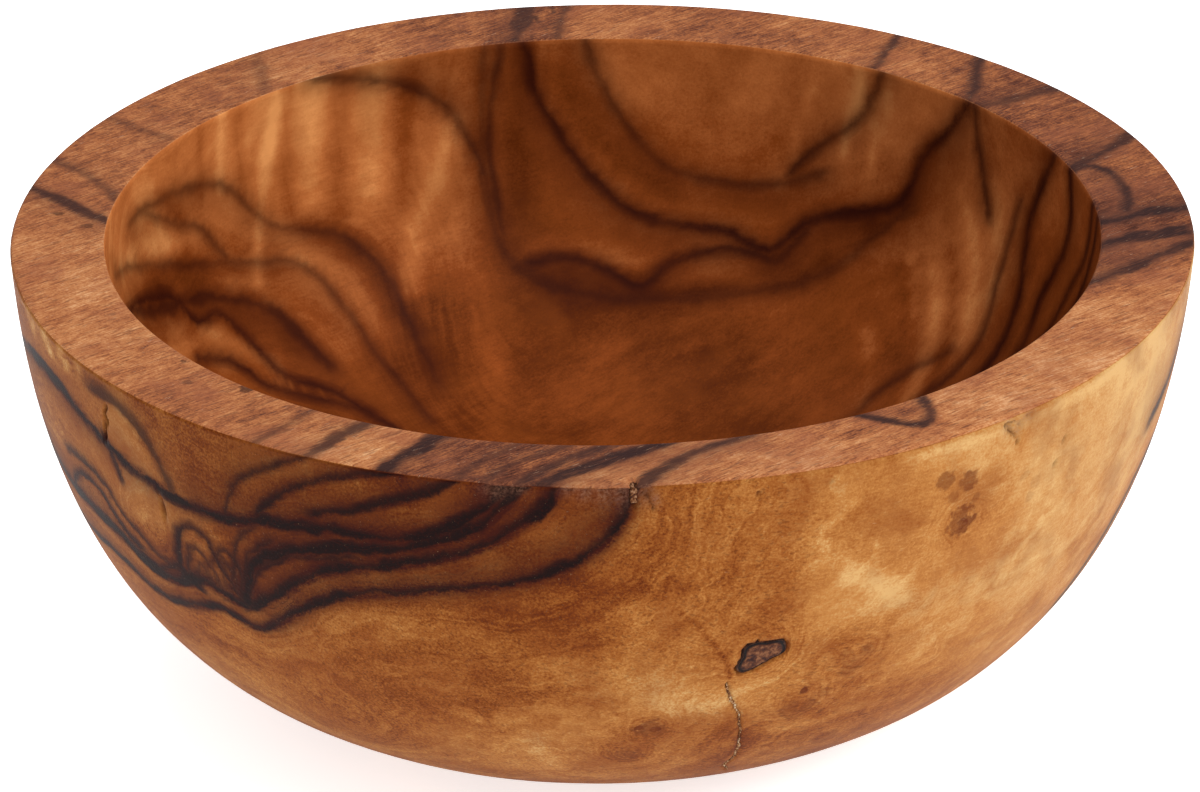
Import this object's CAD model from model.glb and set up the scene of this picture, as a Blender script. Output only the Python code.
import math
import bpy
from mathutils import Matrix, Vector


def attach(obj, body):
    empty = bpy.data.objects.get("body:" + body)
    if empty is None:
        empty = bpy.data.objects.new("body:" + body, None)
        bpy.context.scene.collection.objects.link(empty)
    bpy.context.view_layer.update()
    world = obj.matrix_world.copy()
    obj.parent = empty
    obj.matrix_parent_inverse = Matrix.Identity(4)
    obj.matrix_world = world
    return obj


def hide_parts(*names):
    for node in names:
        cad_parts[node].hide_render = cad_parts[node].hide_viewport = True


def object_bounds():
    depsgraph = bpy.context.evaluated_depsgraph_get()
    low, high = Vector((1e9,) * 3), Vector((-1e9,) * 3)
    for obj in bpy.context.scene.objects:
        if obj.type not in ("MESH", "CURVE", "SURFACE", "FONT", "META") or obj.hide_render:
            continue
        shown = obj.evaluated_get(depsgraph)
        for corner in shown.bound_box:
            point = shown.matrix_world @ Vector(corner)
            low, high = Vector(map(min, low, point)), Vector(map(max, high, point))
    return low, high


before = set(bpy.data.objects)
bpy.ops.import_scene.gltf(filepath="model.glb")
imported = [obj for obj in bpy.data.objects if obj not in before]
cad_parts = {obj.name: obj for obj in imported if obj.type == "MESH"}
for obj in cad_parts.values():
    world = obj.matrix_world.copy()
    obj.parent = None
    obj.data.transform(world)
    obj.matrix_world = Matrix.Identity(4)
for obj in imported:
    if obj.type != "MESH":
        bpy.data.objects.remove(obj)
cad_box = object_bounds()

from types import SimpleNamespace

import bpy
import numpy as np
from mathutils import Vector, geometry, noise

# Lengths are in millimetres until a mesh is made.  A place on the bowl is (turn, run).
# turn: degrees about +Z from the front, towards +X.
# run: millimetres along the profile from the rim's outer edge.  It is negative down the outside and
# under the foot, 0 to RIM_WALL across the rim, and more than RIM_WALL down the hollow.
MM = 0.001
HEIGHT = round(cad_box[1][2] / MM, 2)
RIM_RADIUS, RIM_WALL = 60.0, 9.65
FOOT_RADIUS, FLOOR_TOP = 27.0, 9.2
# The two profile curves: degrees that an end leans by, and mm that it pulls straight on
RIM_LEAN, RIM_PULL = 4.3, 24.6
FOOT_RISE, FOOT_PULL = 12.0, 22.3
HOLLOW_LEAN, HOLLOW_PULL = 3.0, 22.0
FLOOR_PULL = 39.0
# The rim's rounded edges, in mm, and where its outer edge is worn: (turn, reach, more rounding)
OUTER_EASE, INNER_EASE, EASE_LEAN = 0.5, 0.45, 0.04
WORN_EDGE = [(33, 17, 0.55), (-4, 6, 0.2)]
OVAL, OVAL_WAY = 0.0098, math.radians(31.0)
FIBRE_WAY = math.radians(40.0)  # the wood's fibres lie level, this far from +X towards +Y
SEED = Vector((3.7, 1.3, 8.1))
OUTSIDE_REGION, RIM_REGION, HOLLOW_REGION = -1, 0, 1

# Veins, in mm
FAR = 20.0  # the distance given to a place with no vein near it
GROUP_GAP = 3.6  # veins nearer to each other than this are kept in separate fields
RUN_ON = 1.6  # a vein's distance is measured to its line and this much more at each end
END_FADE = 0.8  # how far beyond its end a vein dies away
BESIDE = 16  # degrees past its own turns that a vein is looked for
SOFT_SMOKE = 0.9  # in the smooth hollow a vein's smoke fades over at least this
SMOKE_SHARE, SMOKE_LEAN = 0.6, 0.36  # of its reach: on both sides, and more on the smoky side
SMOKE_STRENGTH = 0.95

# The growth field: its unit of length in mm, how loosely it follows its lines, and points per pass
GROWTH_SCALE, GROWTH_SLACK, CHUNK = 60.0, 2e-5, 4000
# A set tone counts for 1 / (TONE_BLUR + mm away) ** TONE_POWER
TONE_BLUR, TONE_POWER = 1.5, 4


# ---------------------------------------------------------------- the turned profile


def bezier(start, start_handle, end_handle, end, count=500):
    """Points along a cubic curve in the (radius, height) plane."""
    t = np.linspace(0, 1, count)[:, None]
    corners = [np.array(point, float) for point in (start, start_handle, end_handle, end)]
    weights = [(1 - t) ** 3, 3 * t * (1 - t) ** 2, 3 * t * t * (1 - t), t**3]
    return sum(weight * corner for weight, corner in zip(weights, corners))


def lengths(points):
    """How far along the curve each of its points is."""
    return np.concatenate([[0], np.cumsum(np.linalg.norm(np.diff(points, axis=0), axis=1))])


def polar(angle):
    return math.cos(math.radians(angle)), math.sin(math.radians(angle))


def outside_points():
    lean, rise = polar(RIM_LEAN), polar(FOOT_RISE)
    handle = (RIM_RADIUS - RIM_PULL * lean[1], HEIGHT - RIM_PULL * lean[0])
    foot_handle = (FOOT_RADIUS + FOOT_PULL * rise[0], FOOT_PULL * rise[1])
    return bezier((RIM_RADIUS, HEIGHT), handle, foot_handle, (FOOT_RADIUS, 0))


def hollow_points():
    lean = polar(HOLLOW_LEAN)
    inner = RIM_RADIUS - RIM_WALL
    handle = (inner - HOLLOW_PULL * lean[1], HEIGHT - HOLLOW_PULL * lean[0])
    return bezier((inner, HEIGHT), handle, (FLOOR_PULL, FLOOR_TOP), (0, FLOOR_TOP))


OUTSIDE, HOLLOW = outside_points(), hollow_points()
OUTSIDE_LENGTH, HOLLOW_LENGTH = lengths(OUTSIDE)[-1], lengths(HOLLOW)[-1]
FOOT_RUN = -OUTSIDE_LENGTH  # where the outside meets the foot
FIRST_RUN, LAST_RUN = FOOT_RUN - FOOT_RADIUS, RIM_WALL + HOLLOW_LENGTH
PROFILE_RUN = np.concatenate([[FIRST_RUN], -lengths(OUTSIDE)[::-1], RIM_WALL + lengths(HOLLOW)])
PROFILE = np.concatenate([[(0, 0)], OUTSIDE[::-1], HOLLOW])


def mm_per_degree(run):
    return np.interp(run, PROFILE_RUN, PROFILE[:, 0]) * math.pi / 180


def eased(turn):
    """How far the rim's outer edge is rounded over: more at the front right, where it is worn."""
    more = [extra * np.exp(-(((turn - middle) / reach) ** 2)) for middle, reach, extra in WORN_EDGE]
    return sum(more, OUTER_EASE)


def profile_at(turn, run):
    """(radius, height) at a place, with the rim's two edges rounded over."""
    radius = np.interp(run, PROFILE_RUN, PROFILE[:, 0])
    height = np.interp(run, PROFILE_RUN, PROFILE[:, 1])
    for edge_run, edge_radius, way, ease in (
        (0.0, RIM_RADIUS, 1, eased(turn)),
        (RIM_WALL, RIM_RADIUS - RIM_WALL, -1, INNER_EASE + 0 * turn),
    ):
        part = np.clip((run - edge_run) * way / ease, -1, 1)
        angle = (part + 1) * math.pi / 4
        inside = np.abs(run - edge_run) < ease
        arc_radius = edge_radius - way * (ease - ease * np.cos(angle))
        arc_height = HEIGHT - ease + ease * np.sin(angle)
        lean = EASE_LEAN * ease * way * (1 - np.clip(part + 1, 0, 1))
        radius = np.where(inside, arc_radius - lean, radius)
        height = np.where(inside, arc_height, height)
    return radius, height


def dried(x, y):
    """The round bowl went a little oval as the wood dried."""
    c, s = math.cos(OVAL_WAY), math.sin(OVAL_WAY)
    long_way = (c * x + s * y) * (1 + OVAL)
    short_way = (c * y - s * x) * (1 - OVAL)
    return c * long_way - s * short_way, s * long_way + c * short_way


def surface(turn, run):
    """The point of the bare surface at each place."""
    turn, run = np.broadcast_arrays(np.asarray(turn, float), np.asarray(run, float))
    radius, height = profile_at(turn, run)
    angle = np.radians(turn)
    x, y = dried(radius * np.sin(angle), -radius * np.cos(angle))
    return np.stack([x, y, height], axis=-1)


def outward(turn, run, step=0.05):
    """The surface's outward normal at each place."""
    turn, run = np.broadcast_arrays(np.asarray(turn, float), np.asarray(run, float))
    across = surface(turn + step, run) - surface(turn - step, run)
    along = surface(turn, run + step) - surface(turn, run - step)
    normal = np.cross(across, along)
    return normal / (np.linalg.norm(normal, axis=-1, keepdims=True) + 1e-12)


# ---------------------------------------------------------------- strokes and fields on the surface


def smooth_line(points, pieces):
    """A rounded line through hand-set points, with so many pieces between two of them."""
    points = np.array(points, float)
    padded = np.concatenate([[2 * points[0] - points[1]], points, [2 * points[-1] - points[-2]]])
    out = []
    for i in range(1, len(padded) - 2):
        p0, p1, p2, p3 = padded[i - 1 : i + 3]
        for t in np.arange(pieces) / pieces:
            bend = (2 * p0 - 5 * p1 + 4 * p2 - p3) * t**2 + (3 * p1 - p0 - 3 * p2 + p3) * t**3
            out.append(0.5 * (2 * p1 + (p2 - p0) * t + bend))
    out.append(padded[-2])
    return np.array(out)


def turned_by(a, b):
    """a minus b in degrees, the short way round."""
    return (a - b + 180) % 360 - 180


def to_line(turn, run, points):
    """Distance in mm from each place to a line of places, and which side of it the place is on.

    The side is 1 or -1 beside the line, and between them beyond its ends."""
    per_degree = mm_per_degree(run)
    best = np.full(turn.shape, 1e3)
    side = np.ones(turn.shape)
    for (turn_a, run_a), (turn_b, run_b) in zip(points, points[1:]):
        ax, ay = turned_by(turn_a, turn) * per_degree, run_a - run
        dx, dy = turned_by(turn_b, turn) * per_degree - ax, run_b - run_a
        length = np.hypot(dx, dy) + 1e-9
        share = np.clip(-(ax * dx + ay * dy) / length**2, 0, 1)
        away = np.hypot(ax + share * dx, ay + share * dy)
        off = (ax * dy - ay * dx) / length
        nearer = away < best
        side = np.where(nearer, np.clip(off / (away + 1e-9), -1, 1), side)
        best = np.where(nearer, away, best)
    return best, side


def near_line(turn, run, points, half):
    """1 on a line, fading to nothing over a few times half mm at its sides."""
    away, _ = to_line(turn, run, points)
    return np.exp(-((away / half) ** 2))


def carried_on(line):
    """The line with RUN_ON more mm, straight on, at both ends."""
    ends = []
    for end, before in ((line[0], line[1]), (line[-1], line[-2])):
        in_mm = (mm_per_degree(end[1]), 1)
        ahead = (end - before) * in_mm
        ahead *= RUN_ON / np.linalg.norm(ahead)
        ends.append(end + ahead / in_mm)
    return np.concatenate([[ends[0]], line, [ends[1]]])


def near_spot(turn, run, spot_turn, spot_run, across, along):
    """1 in the middle of a spot with these two radii, fading to nothing outside it."""
    sideways = turned_by(turn, spot_turn) * mm_per_degree(run) / across
    return np.exp(-(np.hypot(sideways, (run - spot_run) / along) ** 2))


def down(points):
    """Points set as (turn, mm down the outside) as places."""
    return [(turn, -drop) for turn, drop in points]


def inside(points):
    """Points set as (turn, mm down the hollow) as places."""
    return [(turn, RIM_WALL + drop) for turn, drop in points]


# Dark veins: (half width, strength, smoke reach, smoke side, points).  Smoke fades off one side.
OUTSIDE_VEINS = [
    (0.42, 1.0, 1.2, -1, [
        (-84, 8.5), (-78, 6.6), (-72, 5), (-65, 4.8), (-60, 6.2), (-55, 7.8), (-50, 9.1),
        (-42, 10.3),
    ]),
    (0.45, 1.0, 2.2, 1, [
        (-42, 10.3), (-38, 10.3), (-34, 9.1), (-28, 8.3), (-24, 7.8), (-18, 7.3), (-13, 5),
        (-10, 2.4), (-8.4, 0),
    ]),
    (0.22, 0.8, 1.8, 1, [(-38, 9.4), (-36, 5), (-32, 2.5), (-28, 0)]),
    (0.3, 0.9, 1.6, 1, [(-34, 8), (-30, 4.3), (-26, 2.2), (-22, 0.8), (-19, 0)]),
    (0.3, 0.9, 2.0, 1, [(-28, 6.6), (-22, 4.6), (-16, 1.9), (-13.4, 0)]),
    (0.55, 1.0, 1.6, 1, [
        (-38, 20.6), (-36.5, 16.5), (-34, 13.2), (-28, 10.9), (-23, 9.6), (-18, 8.5), (-13, 6.4),
        (-10, 4.2), (-7, 0),
    ]),
    (0.5, 1.0, 2.0, 1, [
        (-37.5, 21), (-33, 17.7), (-28, 13.6), (-22, 11.6), (-16, 9.7), (-10, 6.8), (-5, 2.6),
        (-3.5, 0),
    ]),
    (0.3, 1.0, 1.5, 1, [
        (-84, 24), (-70, 24.6), (-63, 24), (-57, 25), (-53, 25.8), (-47, 24.6), (-42, 22.9),
        (-37.5, 24), (-34, 21.9),
    ]),
    (0.4, 1.0, 3.2, 1, [
        (-34, 21.9), (-30, 18.6), (-26, 16.2), (-22, 14.9), (-16, 13.3), (-10, 12), (-4, 9.9),
        (0, 7), (2, 4.4), (3.6, 0),
    ]),
    (0.55, 1.0, 2.2, 1, [
        (-78, 17.5), (-70, 18.6), (-62, 19.2), (-57, 20), (-53, 21.6), (-49, 21.8), (-46, 20.6),
        (-43, 19.6), (-41, 20.6), (-38, 21),
    ]),
    (0.24, 0.9, 1.0, 1, [(-67, 18), (-65, 16), (-62, 14.6), (-59, 15.4), (-57, 17.6), (-54, 19.6)]),
    (0.2, 0.8, 0.8, 1, [
        (-66, 13.4), (-62, 12.9), (-58, 13.6), (-55.5, 16), (-53, 17.6), (-50, 19.4), (-47, 20),
    ]),
    (0.24, 0.9, 0.9, 1, [
        (-46.8, 20.6), (-46.2, 17), (-45.2, 14.2), (-43.5, 13), (-41.6, 13.8), (-40.6, 16),
        (-39.8, 18.4), (-38.6, 20.4),
    ]),
    (0.16, 0.8, 0.6, 1, [(-45.4, 20), (-44.8, 17), (-43.6, 15.4), (-42.2, 16.8), (-41.4, 19.4)]),
    (0.14, 0.7, 0.5, 1, [(-44.3, 20), (-43.8, 18.2), (-43, 17.6), (-42.4, 19.2)]),
    (0.16, 0.8, 0.5, 1, [(-40.8, 15.6), (-39.6, 14.4), (-38.2, 15), (-37.6, 17.4), (-37.9, 19.8)]),
    (0.14, 0.7, 0.5, 1, [(-40, 18), (-39.5, 16.2), (-38.9, 16.4), (-38.7, 18.4), (-39.3, 19.2), (-40, 18)]),
    (0.18, 0.9, 0.7, -1, [(-55.5, 7), (-54.6, 8.8), (-53.6, 10.6)]),
    (0.14, 0.9, 0.7, 1, [(-38.2, 20.6), (-36.2, 17.4), (-34.2, 14.8), (-31, 12.6)]),
    (0.12, 0.9, 0.6, 1, [(-38.5, 20.2), (-37.2, 16.8), (-35.8, 13.6), (-33.6, 11.4)]),
    (0.12, 0.8, 0.6, 1, [(-38.9, 18.4), (-38.1, 15.2), (-37.2, 12.6), (-35.4, 10.8)]),
    (0.16, 0.8, 0.8, 1, [(-35.4, 15.2), (-32, 12.9), (-28, 12.1), (-24, 11.1)]),
    (0.3, 0.9, 0.8, 1, [(-51, 21.6), (-49, 20.2), (-47, 19.4), (-45.8, 20.4), (-44.6, 21.2)]),
    (0.5, 0.6, 1.2, 1, [(-57, 2.2), (-53, 2.0), (-50.4, 2.8), (-48.2, 4.6), (-46.6, 7), (-45.6, 9.4)]),
    (0.5, 0.8, 2.5, -1, [(90.4, 1), (87, 4), (82, 7), (76, 10.4), (71, 12.5)]),
    (0.5, 0.8, 2.5, 1, [
        (97.6, 2), (91, 8.6), (84, 13), (78, 17), (73, 19.5), (69, 24), (66, 29), (64, 33),
    ]),
]
RIM_VEINS = [
    (0.2, 0.45, 0.9, 1, [(-33.6, 0), (-33.3, 5), (-33, 9.6)]),
    (0.42, 0.75, 0.9, 1, [(-28, 0), (-27.6, 3), (-27.2, 6), (-26, 9.6)]),
    (0.75, 1.0, 1.0, -1, [(-20.4, 0), (-19.8, 3), (-18.8, 6), (-17.6, 9.6)]),
    (0.2, 0.5, 1.2, 1, [(-13, 0), (-12.2, 3), (-10, 7), (-8.4, 9.6)]),
    (0.2, 0.5, 1.2, 1, [(-10.4, 0), (-9, 4), (-6, 7), (-2.5, 9.6)]),
    (0.3, 0.7, 1.5, -1, [(-7.5, 0), (-6, 3), (-3.5, 6), (1, 9.6)]),
    (0.55, 1.0, 1.8, -1, [(-5, 0), (-3, 3), (1.4, 6.4), (7, 9.6)]),
    (0.4, 0.85, 1.6, -1, [(3.6, 0), (6, 3.6), (10, 7), (16.4, 9.6)]),
    (0.3, 0.95, 0.7, 1, [(29.6, 9.6), (31.4, 7), (33, 4.8), (34.6, 4), (36, 5), (37.6, 7.2), (38.6, 9.6)]),
    (0.5, 0.9, 1.8, -1, [(87, 0), (84, 3), (80, 6), (75.5, 9.2)]),
    (0.8, 1.0, 1.6, 1, [(90, 1.4), (89, 4), (88, 7), (86, 9.6)]),
    (0.7, 1.0, 1.8, -1, [(95, 0.6), (94.4, 4), (93, 7), (92, 9.6)]),
    (0.3, 0.9, 1.2, 1, [(95.5, 6.4), (100, 5.6), (106, 6), (109, 8)]),
    (0.45, 0.85, 1.6, -1, [(114, 0), (112, 3), (110, 6), (107.6, 9.6)]),
    (0.7, 0.6, 1.8, -1, [(127.4, 0), (128, 4), (129, 9.6)]),
    (0.22, 0.85, 0.6, -1, [(138.6, 0), (136.6, 3), (133.6, 6.4), (131, 9.6)]),
    (0.2, 0.8, 0.5, -1, [(148.6, 0), (147.4, 5), (146, 9.6)]),
    (0.2, 0.6, 0.7, -1, [(184, 0), (185, 5), (186, 9.6)]),
    (0.6, 0.75, 1.6, -1, [(188, 0), (189.5, 5), (191, 9.6)]),
    (0.4, 0.3, 2.5, -1, [(218, 0), (221, 5), (225, 9.6)]),
    (0.3, 0.3, 1.5, -1, [(240, 0), (241, 5), (242, 9.6)]),
    (0.45, 0.85, 1.8, -1, [(258.6, 0), (260.4, 3), (263, 6), (266.4, 9.6)]),
    (0.3, 0.5, 1.2, 1, [(252, 0), (254, 4), (258, 8), (261, 9.6)]),
]
HOLLOW_VEINS = [
    (0.42, 0.9, 3.2, 1, [
        (131.5, 0), (134, 4), (138, 8), (140, 13.5), (147, 16), (153, 18), (157, 21.7),
        (163, 20.4), (170, 20),
    ]),
    (0.4, 0.85, 3.2, 1, [(170, 20), (176, 19), (182, 15), (186, 10), (188.6, 6), (190, 0)]),
    (0.36, 0.85, 2.9, 1, [
        (153, 19), (156, 22.6), (161, 22), (168, 23), (172, 24.6), (175.5, 27), (180, 25),
        (186, 23.6), (191, 24),
    ]),
    (0.7, 0.5, 4.6, -1, [
        (138, 14), (143, 18.6), (150, 24), (158, 26.6), (165, 27.8), (178, 28.6), (188, 27),
        (194, 23), (196, 14), (195, 0),
    ]),
    (0.4, 0.7, 2.9, 1, [(194, 20), (194.6, 10), (192.6, 0)]),
    (0.3, 0.75, 2.3, 1, [(145, 0), (146.6, 4), (149, 7), (152.6, 9.4), (156, 13)]),
    (0.45, 0.6, 3.2, 1, [(152, 12.6), (158, 14.8), (166, 15), (173, 13.6), (178, 9), (181, 4), (182.6, 0)]),
    (0.3, 0.8, 1.7, 1, [(130.6, 0), (129.4, 4), (127, 8), (125.4, 11)]),
    (0.34, 0.9, 2.3, 1, [(108.4, 0), (106, 6), (107, 10), (109.4, 15), (108.4, 20), (110, 26)]),
    (0.34, 0.9, 2.3, -1, [(112.6, 0), (115, 5), (116.4, 10), (114, 16), (112.6, 22), (114, 30)]),
    (0.3, 0.85, 2.0, 1, [(98, 0), (98.4, 6), (101.6, 11), (103.6, 16), (106, 22)]),
    (0.4, 0.85, 2.3, 1, [(94, 0), (95, 5), (98, 12), (101, 18)]),
    (0.26, 0.7, 1.7, -1, [(119, 8), (119.6, 16), (117.6, 24), (121, 32)]),
    (0.3, 0.6, 2.6, -1, [(122, 26), (127, 30), (130, 36), (128, 44)]),
    (0.45, 0.7, 3.2, -1, [(196, 14), (199, 8), (204, 4), (212, 1.6), (218, 0)]),
    (0.4, 0.6, 3.5, 1, [
        (210, 36), (210.6, 28), (212, 22), (218, 17), (226, 14.6), (230, 11), (234, 7.6),
        (242, 5.6), (256, 4),
    ]),
    (0.4, 0.55, 3.2, 1, [
        (216, 40), (217.6, 32), (220, 24), (224, 19), (231, 17), (238, 15), (246, 12.6), (256, 9),
        (266, 6),
    ]),
    (0.7, 0.75, 4.3, 1, [(227, 30), (231, 23), (238, 19), (246, 16.6), (254, 15), (262, 11.6)]),
    (0.3, 0.9, 2.0, -1, [
        (226, 38), (230, 33), (236, 29.6), (238, 25), (241, 20), (246, 19.4), (250, 15), (256, 13),
        (264, 11.6),
    ]),
    (0.3, 0.85, 1.7, 1, [(224, 40), (227.6, 36), (233, 33), (240, 29), (243.6, 24.6), (250, 22)]),
    (0.26, 0.6, 2.0, -1, [(253, 4), (245, 8), (239, 11), (236, 15)]),
]
# Behind, the rim's stripes run on down the outside in the same way as at the front.
BACK_VEINS = [
    (0.5, 0.9, 2.2, 1, [(90, 0), (94, 6), (102, 12), (112, 17), (122, 24), (128, 34), (130, 46)]),
    (0.4, 0.9, 2.0, 1, [(95.6, 0), (101, 5), (110, 9), (120, 14), (131, 22), (139, 34), (141, 50)]),
    (0.3, 0.8, 1.4, -1, [(114, 0), (119, 6), (128, 11), (138, 18), (146, 30), (149, 48)]),
    (0.55, 0.8, 2.4, 1, [(127, 0), (132, 7), (141, 12), (150, 19), (156, 32), (158, 52)]),
    (0.26, 0.9, 1.0, 1, [(138.6, 0), (142, 6), (150, 10), (160, 16), (166, 28), (168, 44)]),
    (0.22, 0.8, 1.0, 1, [(148.6, 0), (152, 4), (160, 7), (170, 12), (177, 22), (179, 40)]),
    (0.45, 0.9, 2.0, -1, [(188, 0), (190, 6), (187, 13), (186, 22), (189, 34), (190, 50)]),
    (0.3, 0.6, 2.2, -1, [(218, 0), (214, 8), (206, 15), (201, 25), (200, 42)]),
    (0.26, 0.6, 1.6, 1, [(240, 0), (236, 8), (227, 14), (217, 21), (212, 34), (211, 50)]),
    (0.4, 0.9, 2.0, 1, [(258.6, 0), (252, 7), (243, 12), (233, 20), (226, 32), (224, 48)]),
    (0.35, 0.8, 2.0, -1, [(276, 8.5), (268, 12), (258, 16), (247, 22), (239, 34), (236, 52)]),
    (0.3, 0.8, 1.6, -1, [(276, 24), (268, 27), (258, 32), (250, 42), (247, 56)]),
    (0.45, 0.9, 2.0, -1, [(282, 17.5), (276, 17.6), (268, 19.6), (258, 24), (249, 31), (244, 46)]),
]
HIDDEN_VEINS = [
    (0.45, 0.9, 2.0, 1, [(-33, 0), (-36, 10), (-46, 22), (-62, 34), (-84, 44)]),
    (0.6, 0.9, 2.0, 1, [(-18, 0), (-20, 12), (-30, 27), (-50, 42), (-84, 54)]),
    (0.5, 0.9, 2.2, 1, [(7, 0), (4, 12), (-6, 28), (-26, 44), (-64, 60)]),
    (0.4, 0.8, 2.0, 1, [(16, 0), (15, 14), (10, 30), (-4, 47), (-36, 64)]),
    (0.3, 0.7, 1.6, 1, [(29.6, 0), (30, 10), (33, 22), (37, 12), (38.6, 0)]),
    (0.5, 0.8, 2.2, -1, [(76, 0), (72, 14), (66, 30), (66, 46), (80, 60)]),
    (0.4, 0.8, 2.0, -1, [(86, 0), (84, 14), (80, 30), (84, 46)]),
]


def hang(veins, place):
    return [vein[:4] + (place(vein[4]),) for vein in veins]


VEINS = (
    hang(OUTSIDE_VEINS, down)
    + hang(RIM_VEINS, list)
    + hang(HOLLOW_VEINS, inside)
    + hang(BACK_VEINS, down)
    + hang(HIDDEN_VEINS, inside)
)

# Growth lines: (level, points).  Every fine grain line follows the field that runs through these.
GROWTH = [
    (0, down([
        (-70, 24.5), (-57, 24.5), (-46, 23.5), (-37, 24), (-30, 18.6), (-22, 14.9), (-10, 12),
        (-4, 9.9), (0, 7), (3.5, 1.6),
    ])),
    (1, down([(-65, 20), (-52, 21.5), (-38, 20.6), (-33, 17.7), (-22, 11.6), (-10, 6.6), (-3.5, 0)])),
    (2, down([(-78, 13), (-60, 13), (-38, 14), (-28, 9.6), (-14, 6)])),
    (3, down([
        (-78, 6.6), (-65, 4.8), (-55, 7.8), (-42, 10.3), (-34, 9.1), (-24, 7.8), (-13, 4),
        (-10, 0),
    ])),
    (4, down([(-66, 0), (-48, 3), (-38, 5), (-28, 0)])),
    (-1, down([(-60, 31), (-40, 30), (-25, 23), (-10, 19), (3, 14), (7, 7), (8, 1)])),
    (-2, down([(-50, 40), (-30, 38), (-12, 32), (0, 25), (8, 19), (12, 12), (15, 0)])),
    (-3, down([(-20, 50), (0, 41), (10, 33), (13, 24), (20, 16), (27, 8), (30, 0)])),
    (-4, down([(0, 58), (15, 45), (18, 36), (23, 26), (32, 18), (40, 8), (44, 0)])),
    (-5, down([(25, 52), (32, 36), (42, 24), (55, 10), (58, 0)])),
    (-6, down([(45, 45), (55, 30), (66, 15), (72, 0)])),
    (-7, down([(66, 40), (74, 22), (84, 8)])),
    (4.6, [(-33.6, 1), (-33, 9)]),
    (3.2, [(-20.4, 1), (-18, 9)]),
    (1.4, [(-5, 0.5), (1.4, 6.4), (6.5, 9.4)]),
    (0, [(4, 0.5), (10, 7), (16, 9.4)]),
    (-2.5, [(22, 1), (30, 9.4)]),
    (-3.2, [(34.6, 4.2), (31, 8), (38, 8)]),
    (-5, [(56, 1), (54, 9)]),
    (-7, [(86, 1), (76, 9)]),
    (-8, [(112, 1), (108, 9)]),
    (-9, [(127, 1), (128, 9)]),
    (-10, [(138, 1), (131, 9)]),
    (-11, [(148, 1), (146, 9)]),
    (-10, [(189, 1), (191, 9)]),
    (-7, [(203, 1), (205, 9)]),
    (-4, [(226, 1), (228, 9)]),
    (-1, [(245, 1), (246, 9)]),
    (1.5, [(259, 1), (266, 9)]),
    (3.2, [(-78, 1), (-76, 9)]),
    (4.2, [(-50, 2), (-50, 8)]),
    (-10.5, inside([(132, 3), (140, 13), (153, 18), (163, 20.5), (176, 19), (186, 9), (190, 2)])),
    (-12, inside([(158, 4), (168, 9), (176, 3)])),
    (-9.3, inside([(143, 21), (165, 28), (185, 28), (196, 16)])),
    (-8, inside([(122, 30), (150, 40), (175, 42), (202, 30), (202, 12)])),
    (-7, inside([(140, 52), (180, 56), (208, 40)])),
    (-7.6, inside([(98, 4), (104, 14), (110, 26)])),
    (-8.4, inside([(115, 6), (116, 18), (116, 30)])),
    (-5, inside([(212, 24), (218, 17), (226, 15), (234, 8), (252, 5)])),
    (-3.6, inside([(219, 30), (224, 20), (238, 15), (262, 9)])),
    (-2, inside([(226, 38), (240, 22), (264, 12)])),
    (0, inside([(236, 44), (256, 28), (280, 16)])),
    (3, inside([(-60, 16), (-44, 24)])),
    (0, inside([(8, 12), (0, 28)])),
    (-3, inside([(34, 12), (34, 30), (10, 55)])),
    (-6, inside([(74, 10), (70, 30)])),
    (-8.5, down([(120, 10), (130, 28), (132, 50)])),
    (-10.5, down([(158, 14), (166, 30), (170, 50)])),
    (-9, down([(188, 12), (188, 34), (190, 52)])),
    (-5.5, down([(212, 14), (204, 30), (202, 50)])),
    (-1.5, down([(244, 10), (228, 28), (222, 50)])),
    (1, down([(262, 15), (246, 30), (240, 50)])),
]

# Where the growth is thrown into an eye: (place, reach, height in levels)
EYES = [
    ((-50, -16.5), 4.6, 2.4),
    ((-43.4, -17), 2.4, -1.6),
    ((-61, -16.5), 3.0, -1.5),
    ((16.6, -22.2), 3.4, 1.3),
    ((5.7, -32.5), 2.6, 1.1),
    ((3.3, -38), 2.8, 1.0),
    ((37, -10), 2.6, -0.9),
    ((22.3, -30.5), 3.0, 0.9),
    ((28, -25), 2.6, 0.7),
    ((28.5, -40), 2.6, 0.8),
    ((-30, -37), 6.0, 0.9),
]

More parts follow.
